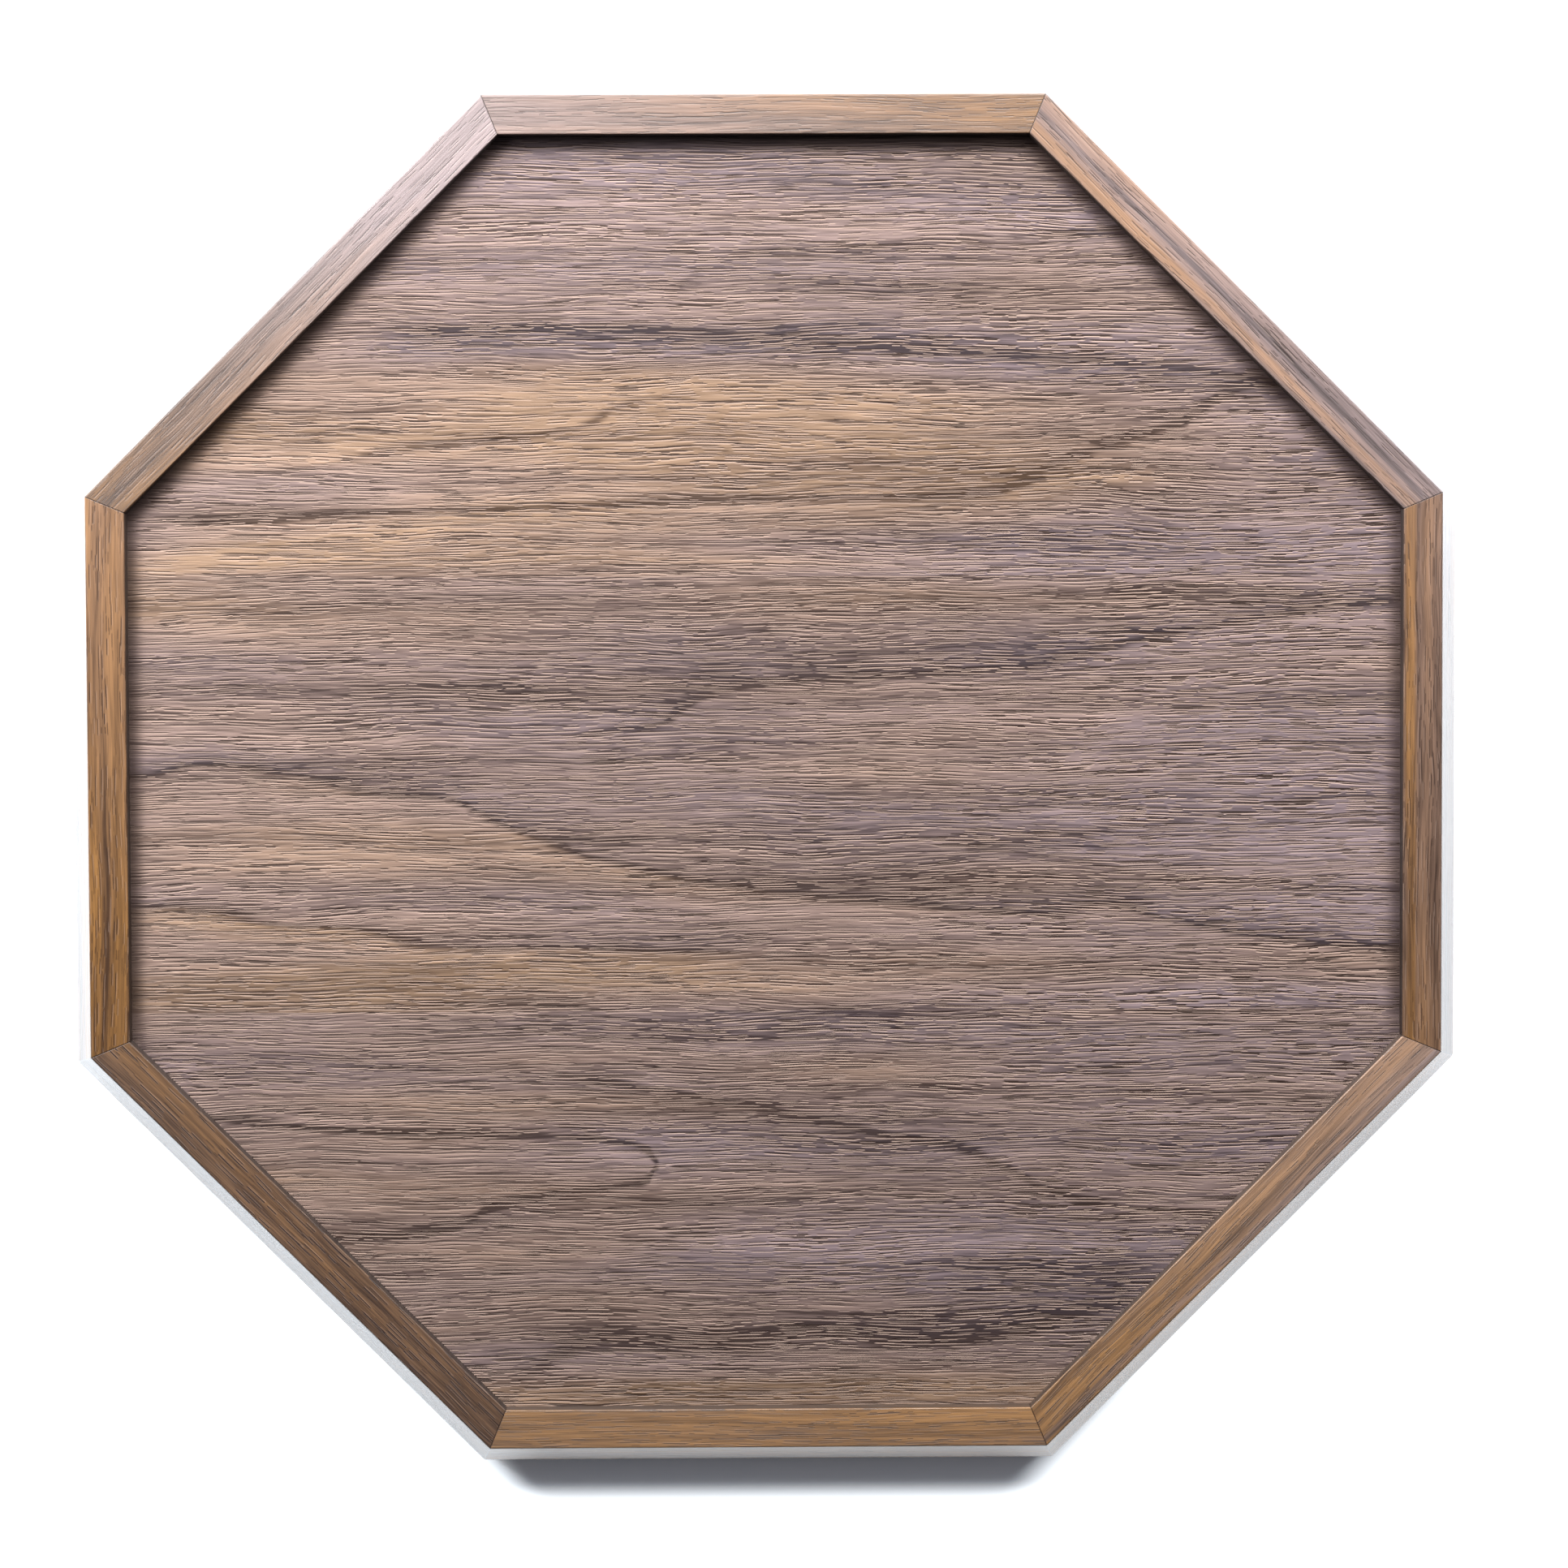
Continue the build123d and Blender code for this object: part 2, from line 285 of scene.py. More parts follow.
class Figure:
    """Sums the figure of one veneer leaf: tone (dark to light) and hue (mauve to golden)."""

    def __init__(self, g, x, y, break_up):
        self.g, self.x, self.y, self.break_up = g, x, y, break_up
        self.tone, self.hue, self.hush = None, None, None

    def _sum(self, name, value, amount):
        if abs(amount) < 1e-6:
            return
        old = getattr(self, name)
        new = (
            self.g.mul(value, amount)
            if old is None
            else self.g.fma(value, amount, old)
        )
        setattr(self, name, new)

    def blob(self, cx, cy, rx, ry, tone=0.0, hue=0.0, slope=0.0, hush=0.0):
        g = self.g
        dx = g.mul(g.sub(self.x, cx), 1.0 / rx)
        dy = g.sub(self.y, cy)
        if slope:
            dy = g.fma(g.sub(self.x, cx), -slope, dy)
        dy = g.mul(dy, 1.0 / ry)
        r2 = g.fma(dx, dx, g.mul(dy, dy))
        m = g.math("EXPONENT", g.mul(r2, -1.0))
        self._sum("tone", m, 1.25 * tone)
        self._sum("hue", m, 1.15 * hue)
        self._sum("hush", m, hush)

    def ring(self, points, width=1.6, dark=0.3, above=None, below=None, fade=25.0):
        """A dark growth line through points, with a band of shade on either side of it."""
        g = self.g
        xs = [p[0] for p in points]
        ends = mask_x(g, self.x, min(xs), max(xs), fade)
        d = g.sub(self.y, g.line(self.x, points))
        core = g.mul(g.ramp(g.absolute(d), width * 2.6, 0.0), g.mul(ends, self.break_up))
        self._sum("tone", core, -1.75 * dark)
        for side, sign in ((above, 1.0), (below, -1.0)):
            if side:
                reach, tone, hue = side
                s = g.mul(d, sign)
                band = g.mul(
                    g.mul(g.ramp(s, -1.5, 2.0), g.ramp(s, reach * 1.3, 0.0)),
                    ends,
                )
                self._sum("tone", band, 2.2 * tone)
                self._sum("hue", band, 1.5 * hue)
        return d

    def tongue(self, top, bottom, tip, tone=0.0, hue=0.0, edge=0.25, side=-1, width=2.4, hush=0.0):
        """The area between two lines that meet at tip; it lies on the side of smaller or larger x."""
        g = self.g
        up = g.sub(g.line(self.x, top), self.y)
        down = g.sub(self.y, g.line(self.x, bottom))
        inside = g.math("MINIMUM", up, down)
        far = min(min(p[0] for p in top), min(p[0] for p in bottom))
        if side > 0:
            far = max(max(p[0] for p in top), max(p[0] for p in bottom))
            run = g.mul(g.ramp(self.x, tip - 1, tip + 2), g.ramp(self.x, far + 30, far - 30))
        else:
            run = g.mul(g.ramp(self.x, tip + 1, tip - 2), g.ramp(self.x, far - 30, far + 30))
        fill = g.mul(g.ramp(inside, -1.0, 3.0), run)
        self._sum("tone", fill, tone)
        self._sum("hue", fill, hue)
        self._sum("hush", fill, hush)
        rim = g.mul(g.ramp(g.absolute(g.sub(inside, -0.8)), width * 1.7, 0.0), g.mul(run, self.break_up))
        self._sum("tone", rim, -1.7 * edge)


MAUVE_DARK = (0.0140, 0.0088, 0.0098)
MAUVE_LIGHT = (0.1240, 0.0915, 0.0950)
GOLD_DARK = (0.0240, 0.0122, 0.0060)
GOLD_LIGHT = (0.1540, 0.0990, 0.0640)
PORE = (0.0100, 0.0040, 0.0022)
PAINTED_GLINT_COLOR = (0.3000, 0.2150, 0.1700)
RAIL_COOL_DARK = (0.016, 0.0104, 0.0090)
RAIL_COOL_LIGHT = (0.112, 0.0830, 0.0810)
RAIL_GOLD_DARK = (0.024, 0.0110, 0.0045)
RAIL_GOLD_LIGHT = (0.144, 0.0690, 0.0200)


VENEER_TONES = (MAUVE_DARK, MAUVE_LIGHT, GOLD_DARK, GOLD_LIGHT)
RAIL_TONES = (RAIL_COOL_DARK, RAIL_COOL_LIGHT, RAIL_GOLD_DARK, RAIL_GOLD_LIGHT)


def walnut_color(g, tone, hue, pore, fleck_and_painted_glint=None, tones=VENEER_TONES):
    tone = g.ramp(tone, 0.0, 1.0, smooth=False)
    hue = g.ramp(hue, 0.0, 1.0, smooth=False)
    cool = g.mix(tone, tones[0], tones[1])
    warm = g.mix(tone, tones[2], tones[3])
    color = g.mix(hue, cool, warm)
    # Painted highlight: the lit pore edges are mixed in as a pale colour.
    if fleck_and_painted_glint is not None:
        color = g.mix(fleck_and_painted_glint, color, PAINTED_GLINT_COLOR)
    return g.mix(pore, color, PORE)


def veneer_walnut(name, seed, draw, base_tone=0.5, base_hue=0.5):
    """Walnut leaf of the back: long grain along X, with the leaf's own figure."""
    g = Graph(name)
    x, y, z = g.split(g.board_mm())
    f = grain(g, x, y, None, seed)
    fig = Figure(g, x, g.fma(g.sub(f["streaks"], 0.5), 5.0, g.fma(g.sub(f["bands"], 0.5), 7.0, y)), g.fma(f["streaks"], 1.8, 0.1))
    draw(fig)
    tone = g.fma(g.sub(f["bands"], 0.5), 0.78, base_tone)
    tone = g.fma(g.sub(f["streaks"], 0.5), 0.88, tone)
    tone = g.fma(g.sub(f["fibres"], 0.5), 0.90, tone)
    tone = g.add(tone, fig.tone)
    # Painted light: the leaf is lighter towards its left and right ends.
    tone = g.fma(g.mul(x, x), 1.1e-6, tone)
    broad = g.noise(g.stretch(f["place"], (240, 36, 36), (seed, 3.1, 7.7)), 1.0, flat=True)
    hue = g.fma(g.sub(broad, 0.5), 1.1, base_hue)
    hue = g.fma(g.sub(f["streaks"], 0.5), 0.25, hue)
    hue = g.add(hue, fig.hue)
    # Painted sheen: the leaf turns cooler, towards mauve, towards +x and warmer towards -x.
    hue = g.fma(x, -0.0006, hue)
    crowd = g.noise(g.stretch(f["place"], (90, 8, 8), (seed, 1.0, 2.0)), 1.0, flat=True)
    crowd = g.ramp(crowd, 0.30, 0.62)
    crowd = g.math("MAXIMUM", g.fma(fig.hush, -1.0, crowd), 0.0) if fig.hush else crowd
    hole, lit = vessels(g, f, seed, (32, 1.7), 0.42, 0.22, 0.12, 0.85, glint=0.46)
    hole2, lit2 = vessels(g, f, seed + 4, (16, 1.35), 0.42, 0.20, 0.12, 0.80, glint=0.46)
    hole3, lit3 = vessels(g, f, seed + 6, (64, 2.6), 0.42, 0.24, 0.12, 0.85, tilt=0.9, glint=0.50)
    side = g.ramp(x, 60.0, 220.0)
    some = g.fma(side, 0.15, g.fma(crowd, 0.30, 0.72))
    crowd = g.fma(side, 0.30, g.fma(crowd, 0.70, 0.18))
    hole = g.math("MAXIMUM", g.mul(hole, some), g.mul(hole2, crowd))
    hole = g.math("MAXIMUM", hole, g.mul(hole3, g.fma(crowd, 0.25, 0.66)))
    # Painted highlight: the lit edges of the pores are drawn as light lines in the colour.
    fleck_and_painted_glint = g.math("MAXIMUM", g.mul(lit, some), g.mul(lit2, crowd))
    fleck_and_painted_glint = g.mul(g.math("MAXIMUM", fleck_and_painted_glint, g.mul(lit3, 0.6)), 0.52)
    # Painted shade: the leaf is darkened in the corner of the recess, along the foot of the rails, on the far
    # half of the board, where the rails shade it; the band takes the pore colour, loses its painted highlights
    # and is lowered in the bump.
    far_x, far_y = g.absolute(x), g.absolute(y)
    edge = g.math("MAXIMUM", g.math("MAXIMUM", far_x, far_y), g.mul(g.add(far_x, far_y), math.sqrt(0.5)))
    corner = g.mul(g.ramp(edge, 340.5, 350.4), g.ramp(y, -172.0, -118.0, 0.0, 0.66))
    hole = g.math("MAXIMUM", hole, corner)
    fleck_and_painted_glint = g.mul(fleck_and_painted_glint, g.sub(1.0, corner))
    color = walnut_color(g, tone, hue, hole, fleck_and_painted_glint)
    relief = g.fma(hole, -1.0, g.mul(f["fibres"], 0.5))
    normal = g.bump(relief, 0.00018, 1.0)
    rough = g.fma(g.sub(f["streaks"], 0.5), 0.16, 0.54)
    node = g.principled(color, rough, normal, IOR=1.22, Anisotropic=0.4)
    g.put(node.inputs["Tangent"], g.combine(0.0, 1.0, 0.0))
    return g.material


def draw_upper(fig):
    fig.blob(-60, 196, 300, 30, tone=0.08, hue=0.48)
    fig.blob(40, 197, 170, 32, tone=0.0, hue=0.34)
    fig.blob(90, 134, 230, 20, tone=0.0, hue=0.26)
    fig.blob(130, 165, 120, 26, tone=-0.17, hue=0.36)
    fig.blob(110, 272, 140, 22, tone=-0.17, hue=0.20)
    fig.blob(70, 334, 120, 18, tone=-0.20, hue=0.05)
    fig.blob(20, 119, 330, 6, tone=0.10, hue=0.30)
    fig.blob(-20, 300, 260, 40, tone=0.06, hue=-0.25)
    fig.blob(-20, 238, 190, 10, tone=-0.10, hue=-0.20)
    fig.blob(250, 150, 130, 34, tone=-0.04, hue=-0.25)
    fig.blob(-170, 207, 110, 10, tone=0.16, hue=0.05)
    fig.ring(
        [(-206, 243), (-108, 246), (-5, 241), (84, 234), (160, 229), (240, 222), (300, 214)],
        1.7, 0.20, above=(16, -0.04, -0.1), below=(22, -0.09, -0.25),
    )
    fig.ring(
        [(-331, 142), (-153, 148), (-19, 153), (93, 154), (133, 158), (173, 176), (227, 193), (272, 213)],
        1.9, 0.42, above=(18, -0.05, 0.05), below=(30, 0.03, 0.10),
    )
    fig.ring([(-287, 168), (-197, 181), (-108, 190), (-59, 208)], 1.4, 0.24, above=(14, 0.08, 0.1))
    fig.blob(-250, 127, 110, 9, tone=0.14, hue=0.4, slope=0.15)
    fig.blob(-110, 156, 270, 20, tone=0.13, hue=-0.05)
    fig.blob(-140, 335, 70, 18, tone=0.06, hue=-0.30)
    fig.blob(-230, 219, 70, 18, tone=0.0, hue=-0.14)
    fig.blob(170, 120, 200, 12, tone=-0.08, hue=-0.2)
    fig.ring([(-60, 262), (-33, 279), (60, 290), (200, 296)], 1.8, 0.12, above=(20, 0.05, 0.0))


def draw_middle(fig):
    fig.blob(70, 98, 240, 14, tone=-0.26, hue=0.34)
    fig.blob(130, -8, 60, 16, tone=-0.08, hue=-0.05)
    fig.blob(-310, -122, 80, 12, tone=-0.12, hue=0.10)
    fig.blob(-60, 52, 240, 18, tone=-0.08, hue=-0.05)
    fig.blob(150, 106, 150, 2.2, tone=0.10, hue=0.0)
    fig.blob(-175, 36, 190, 36, tone=-0.04, hue=-0.05)
    fig.blob(-146, 49, 18, 5, tone=-0.25, hue=0.0)
    fig.blob(-290, -36, 95, 24, tone=0.02, hue=0.36)
    fig.blob(-190, 44, 90, 18, tone=-0.10, hue=0.0)
    fig.blob(228, -118, 80, 12, tone=0.12, hue=0.05)
    fig.blob(-170, -112, 200, 14, tone=0.04, hue=0.50)
    fig.blob(-143, -126, 60, 2.2, tone=-0.38, hue=-0.1)
    fig.blob(270, -122, 90, 9, tone=-0.14, hue=-0.42)
    fig.blob(150, -112, 200, 16, tone=-0.03, hue=0.25)
    fig.ring(
        [(-73, 25), (-28, 45), (16, 51), (84, 55), (155, 60), (205, 73), (348, 93)],
        1.6, 0.30, above=(20, -0.10, -0.1), below=(26, 0.04, 0.0),
    )
    fig.ring(
        [(-348, -1), (-310, 6), (-266, 0), (-221, -8), (-176, -11), (-159, -20), (-132, -33),
         (-87, -47), (-6, -65), (74, -71), (160, -77), (187, -72), (227, -82), (277, -91), (349, -99)],
        1.5, 0.30, above=(20, -0.12, -0.15), below=(24, 0.06, 0.1),
    )
    fig.ring(
        [(-349, -72), (-325, -72), (-275, -80), (-222, -85), (-190, -93), (-110, -95), (-20, -98)],
        1.5, 0.32, above=(12, -0.04, -0.1), below=(16, 0.05, 0.2),
    )
    fig.tongue(
        [(110, -41), (160, -37), (227, -26), (295, -17), (349, -12)],
        [(110, -41), (173, -48), (205, -55), (277, -60), (349, -66)],
        110, tone=0.05, hue=-0.22, edge=0.14, side=1, hush=0.45,
    )
    fig.blob(290, 10, 110, 30, tone=0.02, hue=-0.15)


def draw_lower(fig):
    fig.blob(0, -142, 400, 10, tone=-0.08, hue=-0.20)
    fig.blob(-230, -170, 130, 14, tone=-0.12, hue=-0.15)
    fig.blob(-250, -236, 90, 30, tone=-0.12, hue=-0.05)
    fig.blob(20, -178, 90, 14, tone=-0.14, hue=0.0)
    fig.blob(90, -292, 110, 18, tone=-0.10, hue=0.0)
    fig.blob(-120, -183, 200, 8, tone=0.12, hue=0.25)
    fig.tongue(
        [(-330, -190), (-236, -197), (-173, -200), (-119, -200), (-83, -203), (-65, -209), (-60, -215)],
        [(-330, -262), (-232, -256), (-210, -254), (-169, -247), (-156, -240), (-120, -232), (-84, -227), (-66, -223), (-60, -215)],
        -60, tone=0.07, hue=0.12, edge=0.40, hush=0.35,
    )
    fig.ring(
        [(-110, -168), (-20, -182), (29, -190), (70, -201), (115, -210), (133, -219), (155, -231), (173, -236), (259, -243)],
        1.6, 0.28, above=(14, -0.03, -0.1), below=(30, -0.06, -0.05),
    )
    fig.blob(165, -281, 60, 16, tone=-0.24, hue=-0.12)
    fig.blob(60, -185, 70, 16, tone=-0.10, hue=-0.05)
    fig.blob(60, -245, 120, 26, tone=0.02, hue=-0.3)
    fig.ring(
        [(-138, -331), (-111, -320), (-84, -313), (-43, -316), (24, -310), (83, -315), (137, -310), (205, -292)],
        2.6, 0.26, above=(16, -0.08, -0.05), below=(10, -0.05, 0.0),
    )
    fig.blob(0, -345, 250, 9, tone=0.06, hue=0.55)
    fig.blob(-232, -189, 60, 14, tone=0.12, hue=-0.05)
    fig.blob(50, -189, 140, 13, tone=-0.08, hue=0.0)
    fig.blob(-190, -247, 110, 16, tone=-0.09, hue=0.0)
    fig.blob(150, -305, 100, 16, tone=-0.11, hue=0.0)


paint(veneer_walnut("back_walnut_upper", 1.0, draw_upper, 0.44, 0.34), "back_veneer_upper")
paint(veneer_walnut("back_walnut_middle", 2.0, draw_middle, 0.43, 0.34), "back_veneer_middle")
paint(veneer_walnut("back_walnut_lower", 3.0, draw_lower, 0.42, 0.38), "back_veneer_lower")


def rail_walnut(index, tone, hue, slope=0.0, contrast=1.0, drift=0.0, stripes=(), dashes=0.35):
    """Solid walnut of one rail: the grain runs along it, and darkens at the glued mitres."""
    turn = 45.0 * index
    g = Graph("rail_walnut_" + RAILS[index][5:])
    u, across, z = g.split(g.board_mm(turn + 90.0))
    radius = g.mul(across, -1.0)
    # The grain dives through the rail at a slant, so that its upright sides are figured as well.
    f = grain(g, u, g.fma(z, -0.7, radius), None, 11.0 + index, wave=5.0, wave_length=140.0)
    t = g.fma(g.sub(f["bands"], 0.5), 0.65 * contrast, tone)
    t = g.fma(g.sub(f["streaks"], 0.5), 0.75 * contrast, t)
    t = g.fma(g.sub(f["fibres"], 0.5), 0.55, t)
    if slope:
        t = g.fma(u, slope / 150.0, t)
    h = g.fma(g.sub(f["bands"], 0.5), 0.7, hue)
    if drift:
        h = g.fma(u, drift / 150.0, h)
    for centre, half, dt, dh in stripes:
        band = g.ramp(g.absolute(g.fma(g.sub(f["bands"], 0.5), 6.0, g.sub(radius, centre))), half, half * 0.35)
        t = g.fma(band, dt, t)
        h = g.fma(band, dh, h)
    crowd = g.noise(g.stretch(f["place"], (70, 6, 6), (index, 1.0, 2.0)), 1.0, flat=True)
    crowd = g.ramp(crowd, 0.32, 0.66)
    hole, lit = vessels(g, f, index + 1.0, (22, 2.4), 0.42, 0.28, 0.14, 0.75)
    hole2, lit2 = vessels(g, f, index + 21.0, (11, 1.6), 0.42, 0.25, 0.14, 0.70)
    hole = g.math("MAXIMUM", g.mul(hole, g.fma(crowd, 0.40, dashes)), g.mul(g.mul(hole2, 0.6), crowd))
    # Painted highlight: a faint light line at the lit edge of each pore.
    lit = g.mul(lit, 0.10)
    # The glue line: the joint's own plane is tan(22.5 degrees) of the radius away from the rail's middle.
    gap = g.fma(radius, math.tan(math.radians(22.5)), g.mul(g.absolute(u), -1.0))
    glue = g.ramp(gap, 0.42, 0.12)
    color = walnut_color(
        g, t, h, g.math("MAXIMUM", hole, g.mul(glue, 0.85)), lit, tones=RAIL_TONES
    )
    # Painted shade: the upright side of the recess is darkened nearly to black, for the shadow that lies on it.
    painted_wall_shade = g.mul(g.ramp(radius, 353.0, 351.8), g.ramp(z, 47.2, 46.2))
    color = g.mix(g.mul(painted_wall_shade, 0.80), color, (0.0080, 0.0040, 0.0032))
    relief = g.fma(hole, -0.8, g.mul(f["fibres"], 0.9))
    relief = g.fma(glue, -1.5, relief)
    normal = g.bump(relief, 0.00012, 1.0)
    rough = g.fma(g.sub(f["streaks"], 0.5), 0.14, 0.42)
    # The outer sides are glossier than the foot ring.
    slant = g.ramp(radius, 371.7, 372.9)
    node = g.principled(
        color, rough, normal, IOR=1.45, Anisotropic=0.8,
        Coat_Weight=g.fma(slant, 0.60, 0.06), Coat_Roughness=0.18, Coat_IOR=1.5,
    )
    turn = math.radians(turn)
    g.put(node.inputs["Tangent"], g.combine(math.cos(turn), math.sin(turn), 0.0))
    return g.material


RAIL_LOOK = {
    # index: (tone, hue, slope of the tone along the rail, contrast, drift of the hue along it, stripes, dashes)
    0: (0.38, 0.50, 0.03, 1.2, -0.12, ((355, 4, 0.12, 0.40),)),
    1: (0.69, 0.16, 0.0, 1.0, 0.05, ((355, 5, 0.04, 0.34), (363.5, 2.4, -0.34, -0.20))),
    2: (0.46, 0.55, 0.12, 1.1, -0.42),
    3: (0.56, 0.32, -0.38, 1.0, 0.58),
    4: (0.45, 0.86, -0.18, 1.3, 0.16),
    5: (0.18, 0.78, 0.0, 0.9, 0.0, (), 0.72),
    6: (0.53, 1.05, 0.0, 1.3, 0.0),
    7: (0.69, 0.80, 0.28, 1.5, -0.15, ((362, 3.0, -0.22, 0.0), (369, 2.5, -0.14, -0.35))),
}
for k, look in RAIL_LOOK.items():
    paint(rail_walnut(k, *look), RAILS[k])


def ditch_walnut():
    g = Graph("ditch_walnut")
    x, y, z = g.split(g.board_mm())
    f = grain(g, x, y, None, 31.0)
    t = g.fma(g.sub(f["bands"], 0.5), 0.6, 0.40)
    t = g.fma(g.sub(f["streaks"], 0.5), 0.7, t)
    t = g.fma(g.sub(f["fibres"], 0.5), 0.4, t)
    hole = g.mul(pores(g, f, 31.0, (40, 1.7, 400), 0.27, 0.09, 0.8), 0.8)
    color = walnut_color(g, t, g.fma(f["bands"], 0.6, 0.4), hole)
    relief = g.fma(hole, -1.0, g.mul(f["fibres"], 0.5))
    normal = g.bump(relief, 0.00012, 1.0)
    g.principled(color, g.fma(f["streaks"], 0.15, 0.30), normal, IOR=1.5, Coat_Weight=0.35, Coat_Roughness=0.15)
    return g.material


def maple():
    """Pale maple of the playing face: quiet grain, small flecks, a satin polish."""
    g = Graph("playing_maple")
    x, y, z = g.split(g.board_mm())
    f = grain(g, x, y, None, 41.0, wave=14.0, wave_length=260.0)
    broad = g.noise(g.stretch(f["place"], (420, 60, 60), (4.0, 1.0, 2.0)), 2.0, flat=True)
    t = g.fma(g.sub(f["bands"], 0.5), 0.5, 0.52)
    t = g.fma(g.sub(f["streaks"], 0.5), 0.35, t)
    t = g.fma(g.sub(f["fibres"], 0.5), 0.22, t)
    t = g.fma(g.sub(broad, 0.5), 0.5, t)
    color = g.mix(g.ramp(t, 0.0, 1.0, smooth=False), (0.46, 0.29, 0.14), (0.74, 0.57, 0.37))
    fleck_and_painted_glint = pores(g, f, 41.0, (5.5, 0.7, 400), 0.22, 0.10, 0.5)
    color = g.mix(g.mul(fleck_and_painted_glint, 0.30), color, (0.42, 0.27, 0.15))
    normal = g.bump(g.fma(fleck_and_painted_glint, -0.6, g.mul(f["fibres"], 0.4)), 0.00004, 1.0)
    g.principled(color, g.fma(f["streaks"], 0.12, 0.24), normal, IOR=1.5, Coat_Weight=0.5, Coat_Roughness=0.1)
    return g.material


def plywood(name, layer=1.57):
    """Birch ply: pale layers whose grain alternates, with a dark glue line between them."""
    g = Graph(name)
    x, y, z = g.split(g.board_mm())
    ply = g.math("DIVIDE", z, layer)
    step = g.math("FLOOR", ply)
    odd = g.math("MODULO", g.absolute(step), 2.0)
    part = g.math("FRACT", ply)
    glue = g.ramp(g.math("MINIMUM", part, g.sub(1.0, part)), 0.07, 0.02)
    place = g.combine(x, y, z)
    along = g.noise(g.stretch(place, (60, 1.2, 0.5)), 3.0, 0.6)
    cross = g.noise(g.stretch(place, (1.2, 60, 0.5)), 3.0, 0.6)
    face = g.mix(along, (0.52, 0.36, 0.20), (0.76, 0.60, 0.41))
    end = g.mix(cross, (0.34, 0.21, 0.11), (0.60, 0.43, 0.26))
    color = g.mix(odd, face, end)
    color = g.mix(g.mul(glue, 0.8), color, (0.10, 0.055, 0.03))
    relief = g.fma(glue, -1.0, g.add(g.mul(along, 0.4), g.mul(cross, 0.4)))
    g.principled(color, g.fma(along, 0.15, 0.48), g.bump(relief, 0.00010), IOR=1.5)
    return g.material


def beech():
    g = Graph("spline_beech")
    x, y, z = g.split(g.board_mm())
    place = g.combine(x, y, z)
    n = g.noise(g.stretch(place, (1.1, 1.1, 14)), 3.0, 0.6)
    ray = pores(g, {"place": place, "flat": False}, 5.0, (0.8, 0.8, 3.0), 0.22, 0.1, 0.6)
    color = g.mix(n, (0.40, 0.24, 0.13), (0.66, 0.46, 0.29))
    color = g.mix(g.mul(ray, 0.5), color, (0.30, 0.16, 0.08))
    g.principled(color, g.fma(n, 0.12, 0.50), g.bump(n, 0.00008), IOR=1.5)
    return g.material


def line_ink():
    """Dark filled lines, slightly uneven where the filler has sunk into the grain."""
    g = Graph("line_fill")
    x, y, z = g.split(g.board_mm())
    place = g.combine(x, y, z)
    n = g.noise(g.stretch(place, (9, 0.7, 2)), 3.0, 0.6)
    spots = g.noise(g.stretch(place, (1.4, 0.5, 1)), 2.0)
    color = g.mix(g.ramp(n, 0.3, 0.8), (0.006, 0.005, 0.005), (0.030, 0.022, 0.018))
    g.principled(color, g.fma(spots, 0.2, 0.32), g.bump(g.add(n, spots), 0.00003), IOR=1.5)
    return g.material


def zinc():
    """Plated steel of the peg screws: a cloudy tone, small scuffs drawn out along Y."""
    g = Graph("peg_zinc")
    x, y, z = g.split(g.board_mm())
    place = g.combine(x, y, z)
    cloud = g.noise(g.stretch(place, (3.0, 3.0, 3.0)), 3.0, 0.6)
    scuff = g.noise(g.stretch(place, (0.25, 2.2, 0.25)), 2.0, 0.7)
    color = g.mix(cloud, (0.50, 0.51, 0.53), (0.74, 0.74, 0.73))
    color = g.mix(g.mul(g.ramp(scuff, 0.58, 0.72), 0.5), color, (0.30, 0.30, 0.31))
    rough = g.fma(scuff, 0.22, 0.20)
    g.principled(color, rough, g.bump(g.add(cloud, scuff), 0.00003), Metallic=1.0, Anisotropic=0.3)
    return g.material


def rubber():
    """Dark latex sleeve: fine grain, a pale bloom where it has rubbed."""
    g = Graph("peg_rubber")
    x, y, z = g.split(g.board_mm())
    place = g.combine(x, y, z)
    fine = g.noise(g.stretch(place, (0.35, 0.35, 0.35)), 3.0, 0.6)
    bloom = g.noise(g.stretch(place, (2.6, 2.6, 1.6)), 3.0, 0.6)
    color = g.mix(g.ramp(bloom, 0.45, 0.75), (0.012, 0.012, 0.012), (0.055, 0.052, 0.050))
    g.principled(color, g.fma(fine, 0.2, 0.50), g.bump(fine, 0.00006), IOR=1.5, Sheen_Weight=0.1)
    return g.material


paint(ditch_walnut(), "ditch_veneer")
paint(maple(), "playing_surface_veneer")
paint(plywood("plywood_base", 1.56), "base_core")
paint(plywood("plywood_disc", 1.57), "playing_surface_core")
paint(beech(), "mitre_splines")
paint(line_ink(), "inner_ring_line", "middle_ring_line", "outer_ring_line", "quadrant_lines")
paint(zinc(), "peg_screws")
paint(rubber(), "peg_sleeves")


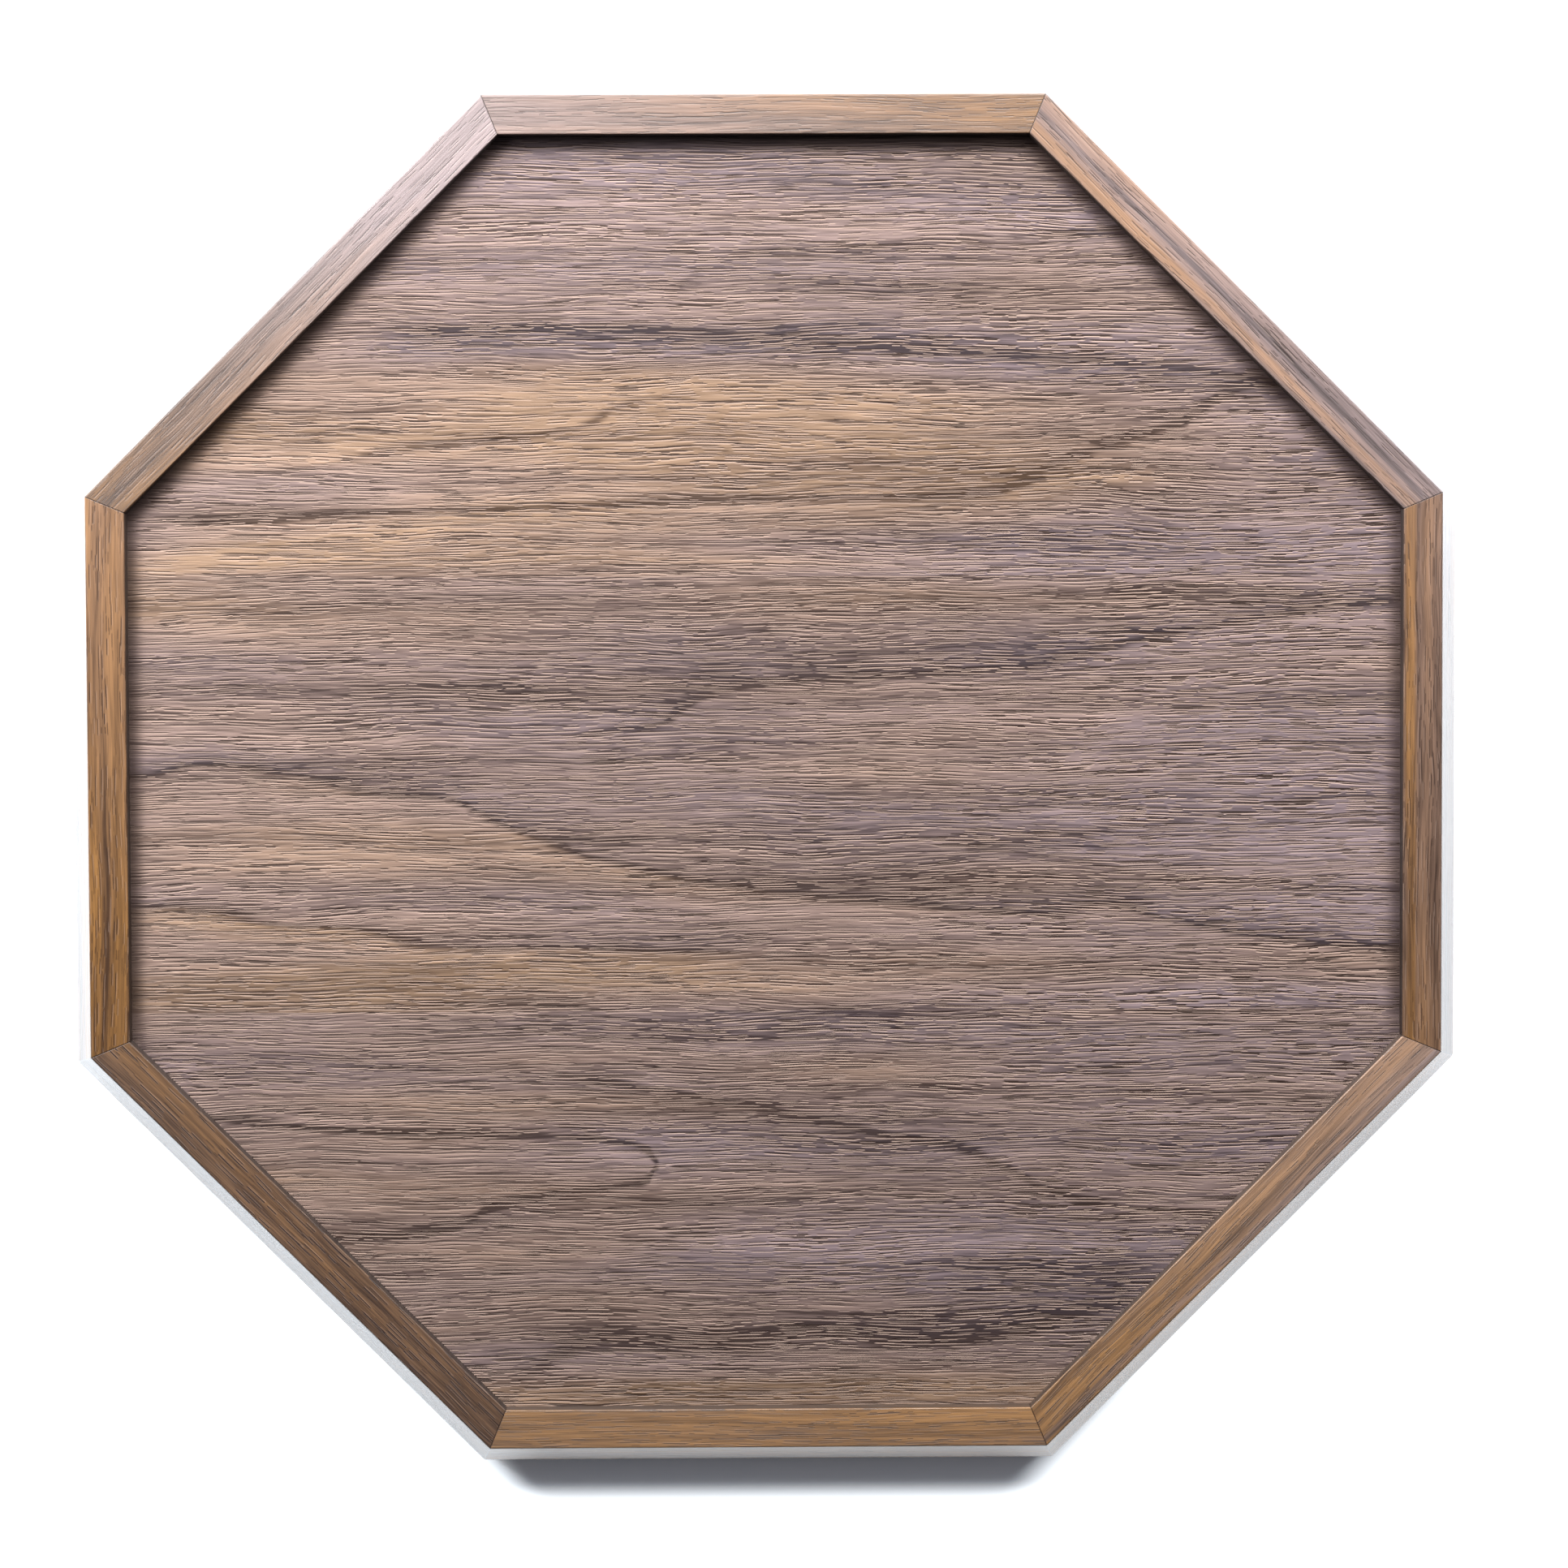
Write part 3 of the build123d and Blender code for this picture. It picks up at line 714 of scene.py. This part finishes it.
# --------------------------------------------------------------------------
# Floor, camera, light
# --------------------------------------------------------------------------
def make_floor():
    mesh = bpy.data.meshes.new("floor")
    reach, rings, sides = 3.4, 24, 96
    verts, faces = [(0.0, 0.0, 0.0)], []
    for i in range(1, rings + 1):
        r = reach * (i / rings) ** 1.5
        for j in range(sides):
            a = 2 * math.pi * j / sides
            verts.append((r * math.cos(a), r * math.sin(a), 0.0))
    for j in range(sides):
        faces.append((0, 1 + j, 1 + (j + 1) % sides))
    for i in range(rings - 1):
        for j in range(sides):
            a = 1 + i * sides + j
            b = 1 + i * sides + (j + 1) % sides
            faces.append((a, a + sides, b + sides, b))
    mesh.from_pydata(verts, [], faces)
    floor = bpy.data.objects.new("floor", mesh)
    scene.collection.objects.link(floor)
    floor.location = (0.0, 0.0, cad_low.z - 0.0003)
    g = Graph("pale_floor")
    coord = g.new("ShaderNodeTexCoord")
    n = g.noise(coord.outputs["Object"], 3.0, 0.6, scale=60.0)
    color = g.mix(n, (0.80, 0.86, 0.91), (0.84, 0.895, 0.94))
    bsdf = g.new("ShaderNodeBsdfDiffuse")
    g.put(bsdf.inputs["Color"], color)
    length = g.new("ShaderNodeVectorMath", operation="LENGTH")
    g.put(length.inputs[0], coord.outputs["Object"])
    away = g.ramp(length.outputs["Value"], 1.3, 3.2)
    # The sweep glows, so that it goes white, except in a painted shadow by the south side of the board, where
    # the board's own shadow is darkest.
    x, y, z = g.split(coord.outputs["Object"])
    painted_floor_shadow = g.mul(g.ramp(y, -0.4190, -0.3995), g.ramp(g.fma(g.absolute(g.sub(x, 0.003)), 1.0, g.mul(y, -0.9)), 0.534, 0.493))
    painted_floor_shadow = g.mul(painted_floor_shadow, g.ramp(y, -0.30, -0.36))
    glow = g.new("ShaderNodeEmission")
    g.put(glow.inputs["Color"], (0.93, 0.97, 1.0))
    g.put(glow.inputs["Strength"], g.fma(painted_floor_shadow, -1.45, 1.45))
    lit = g.new("ShaderNodeAddShader")
    g.tree.links.new(bsdf.outputs[0], lit.inputs[0])
    g.tree.links.new(glow.outputs[0], lit.inputs[1])
    clear = g.new("ShaderNodeBsdfTransparent")
    mixed = g.new("ShaderNodeMixShader")
    g.put(mixed.inputs[0], away)
    g.tree.links.new(lit.outputs[0], mixed.inputs[1])
    g.tree.links.new(clear.outputs[0], mixed.inputs[2])
    g.tree.links.new(mixed.outputs[0], g.output.inputs[0])
    mesh.materials.append(g.material)
    return floor


def make_camera():
    """The long-lens view from above, a few degrees off square."""
    distance = 2.5
    turn = (
        Matrix.Rotation(math.radians(0.242), 3, "Z")
        @ Matrix.Rotation(math.radians(0.660), 3, "Y")
        @ Matrix.Rotation(math.radians(2.768), 3, "X")
    )
    top = Vector((0.0, 0.0, cad_high.z))
    back = turn.transposed()
    place = back @ (Vector((0.0, 0.0, distance)) - Vector((-0.00987, 0.00459, 0.0))) + top
    data = bpy.data.cameras.new("camera")
    data.sensor_fit = "HORIZONTAL"
    data.sensor_width = 36.0
    data.lens = 36.0 * 5604.8 / 1932.0
    data.clip_start, data.clip_end = 0.05, 50.0
    camera = bpy.data.objects.new("camera", data)
    camera.matrix_world = Matrix.Translation(place) @ back.to_4x4()
    scene.collection.objects.link(camera)
    scene.camera = camera


def make_light(name, place, size, power, color=(1.0, 1.0, 1.0), aim=(0.0, 0.0, 0.0), spread=180.0):
    data = bpy.data.lights.new(name, "AREA")
    data.shape = "RECTANGLE"
    data.size, data.size_y = size
    data.energy = power
    data.color = color
    data.spread = math.radians(spread)
    light = bpy.data.objects.new(name, data)
    light.location = place
    light.rotation_euler = (Vector(aim) - Vector(place)).to_track_quat("-Z", "Y").to_euler()
    light.visible_camera = False
    scene.collection.objects.link(light)
    return light


def make_world():
    world = bpy.data.worlds.new("studio")
    scene.world = world
    world.use_nodes = True
    tree = world.node_tree
    tree.nodes.clear()
    out = tree.nodes.new("ShaderNodeOutputWorld")
    coord = tree.nodes.new("ShaderNodeTexCoord")
    split = tree.nodes.new("ShaderNodeSeparateXYZ")
    tree.links.new(coord.outputs["Generated"], split.inputs[0])

    def ramp(socket, a, b, lo, hi):
        n = tree.nodes.new("ShaderNodeMapRange")
        n.interpolation_type = "SMOOTHSTEP"
        tree.links.new(socket, n.inputs[0])
        for i, v in enumerate((a, b, lo, hi)):
            n.inputs[i + 1].default_value = v
        return n.outputs[0]

    north = ramp(split.outputs[1], -0.3, 1.0, 0.0, 0.35)
    high = ramp(split.outputs[2], 0.35, 1.0, 0.0, 0.22)
    total = tree.nodes.new("ShaderNodeMath")
    total.operation = "ADD"
    tree.links.new(north, total.inputs[0])
    tree.links.new(high, total.inputs[1])
    base = tree.nodes.new("ShaderNodeMath")
    base.operation = "ADD"
    tree.links.new(total.outputs[0], base.inputs[0])
    base.inputs[1].default_value = 0.03
    soft = tree.nodes.new("ShaderNodeBackground")
    soft.inputs["Color"].default_value = (0.93, 0.91, 1.0, 1.0)
    tree.links.new(base.outputs[0], soft.inputs["Strength"])
    white = tree.nodes.new("ShaderNodeBackground")
    white.inputs["Color"].default_value = (1.0, 1.0, 1.0, 1.0)
    white.inputs["Strength"].default_value = 1.1
    path = tree.nodes.new("ShaderNodeLightPath")
    mix = tree.nodes.new("ShaderNodeMixShader")
    tree.links.new(path.outputs["Is Camera Ray"], mix.inputs[0])
    tree.links.new(soft.outputs[0], mix.inputs[1])
    tree.links.new(white.outputs[0], mix.inputs[2])
    tree.links.new(mix.outputs[0], out.inputs[0])


make_floor()
make_camera()
make_light("soft_north_west", (-1.00, 0.86, 1.02), (1.10, 0.90), 56.0, (0.93, 0.965, 1.0), (-0.05, 0.05, 0.0))
make_light("soft_north", (-0.15, 1.22, 1.12), (1.90, 0.46), 127.0, (0.98, 0.975, 0.985), (0.0, 0.0, 0.0))
make_light("soft_north_east", (1.20, 0.95, 1.12), (1.00, 0.85), 28.0, (0.95, 0.975, 1.0), (0.0, 0.0, 0.0))
make_world()

scene.cycles.max_bounces = 6
scene.cycles.diffuse_bounces = 3
scene.cycles.glossy_bounces = 3
scene.view_settings.view_transform = "Standard"
scene.view_settings.look = "None"
scene.view_settings.exposure = 0.0
scene.view_settings.gamma = 1.0
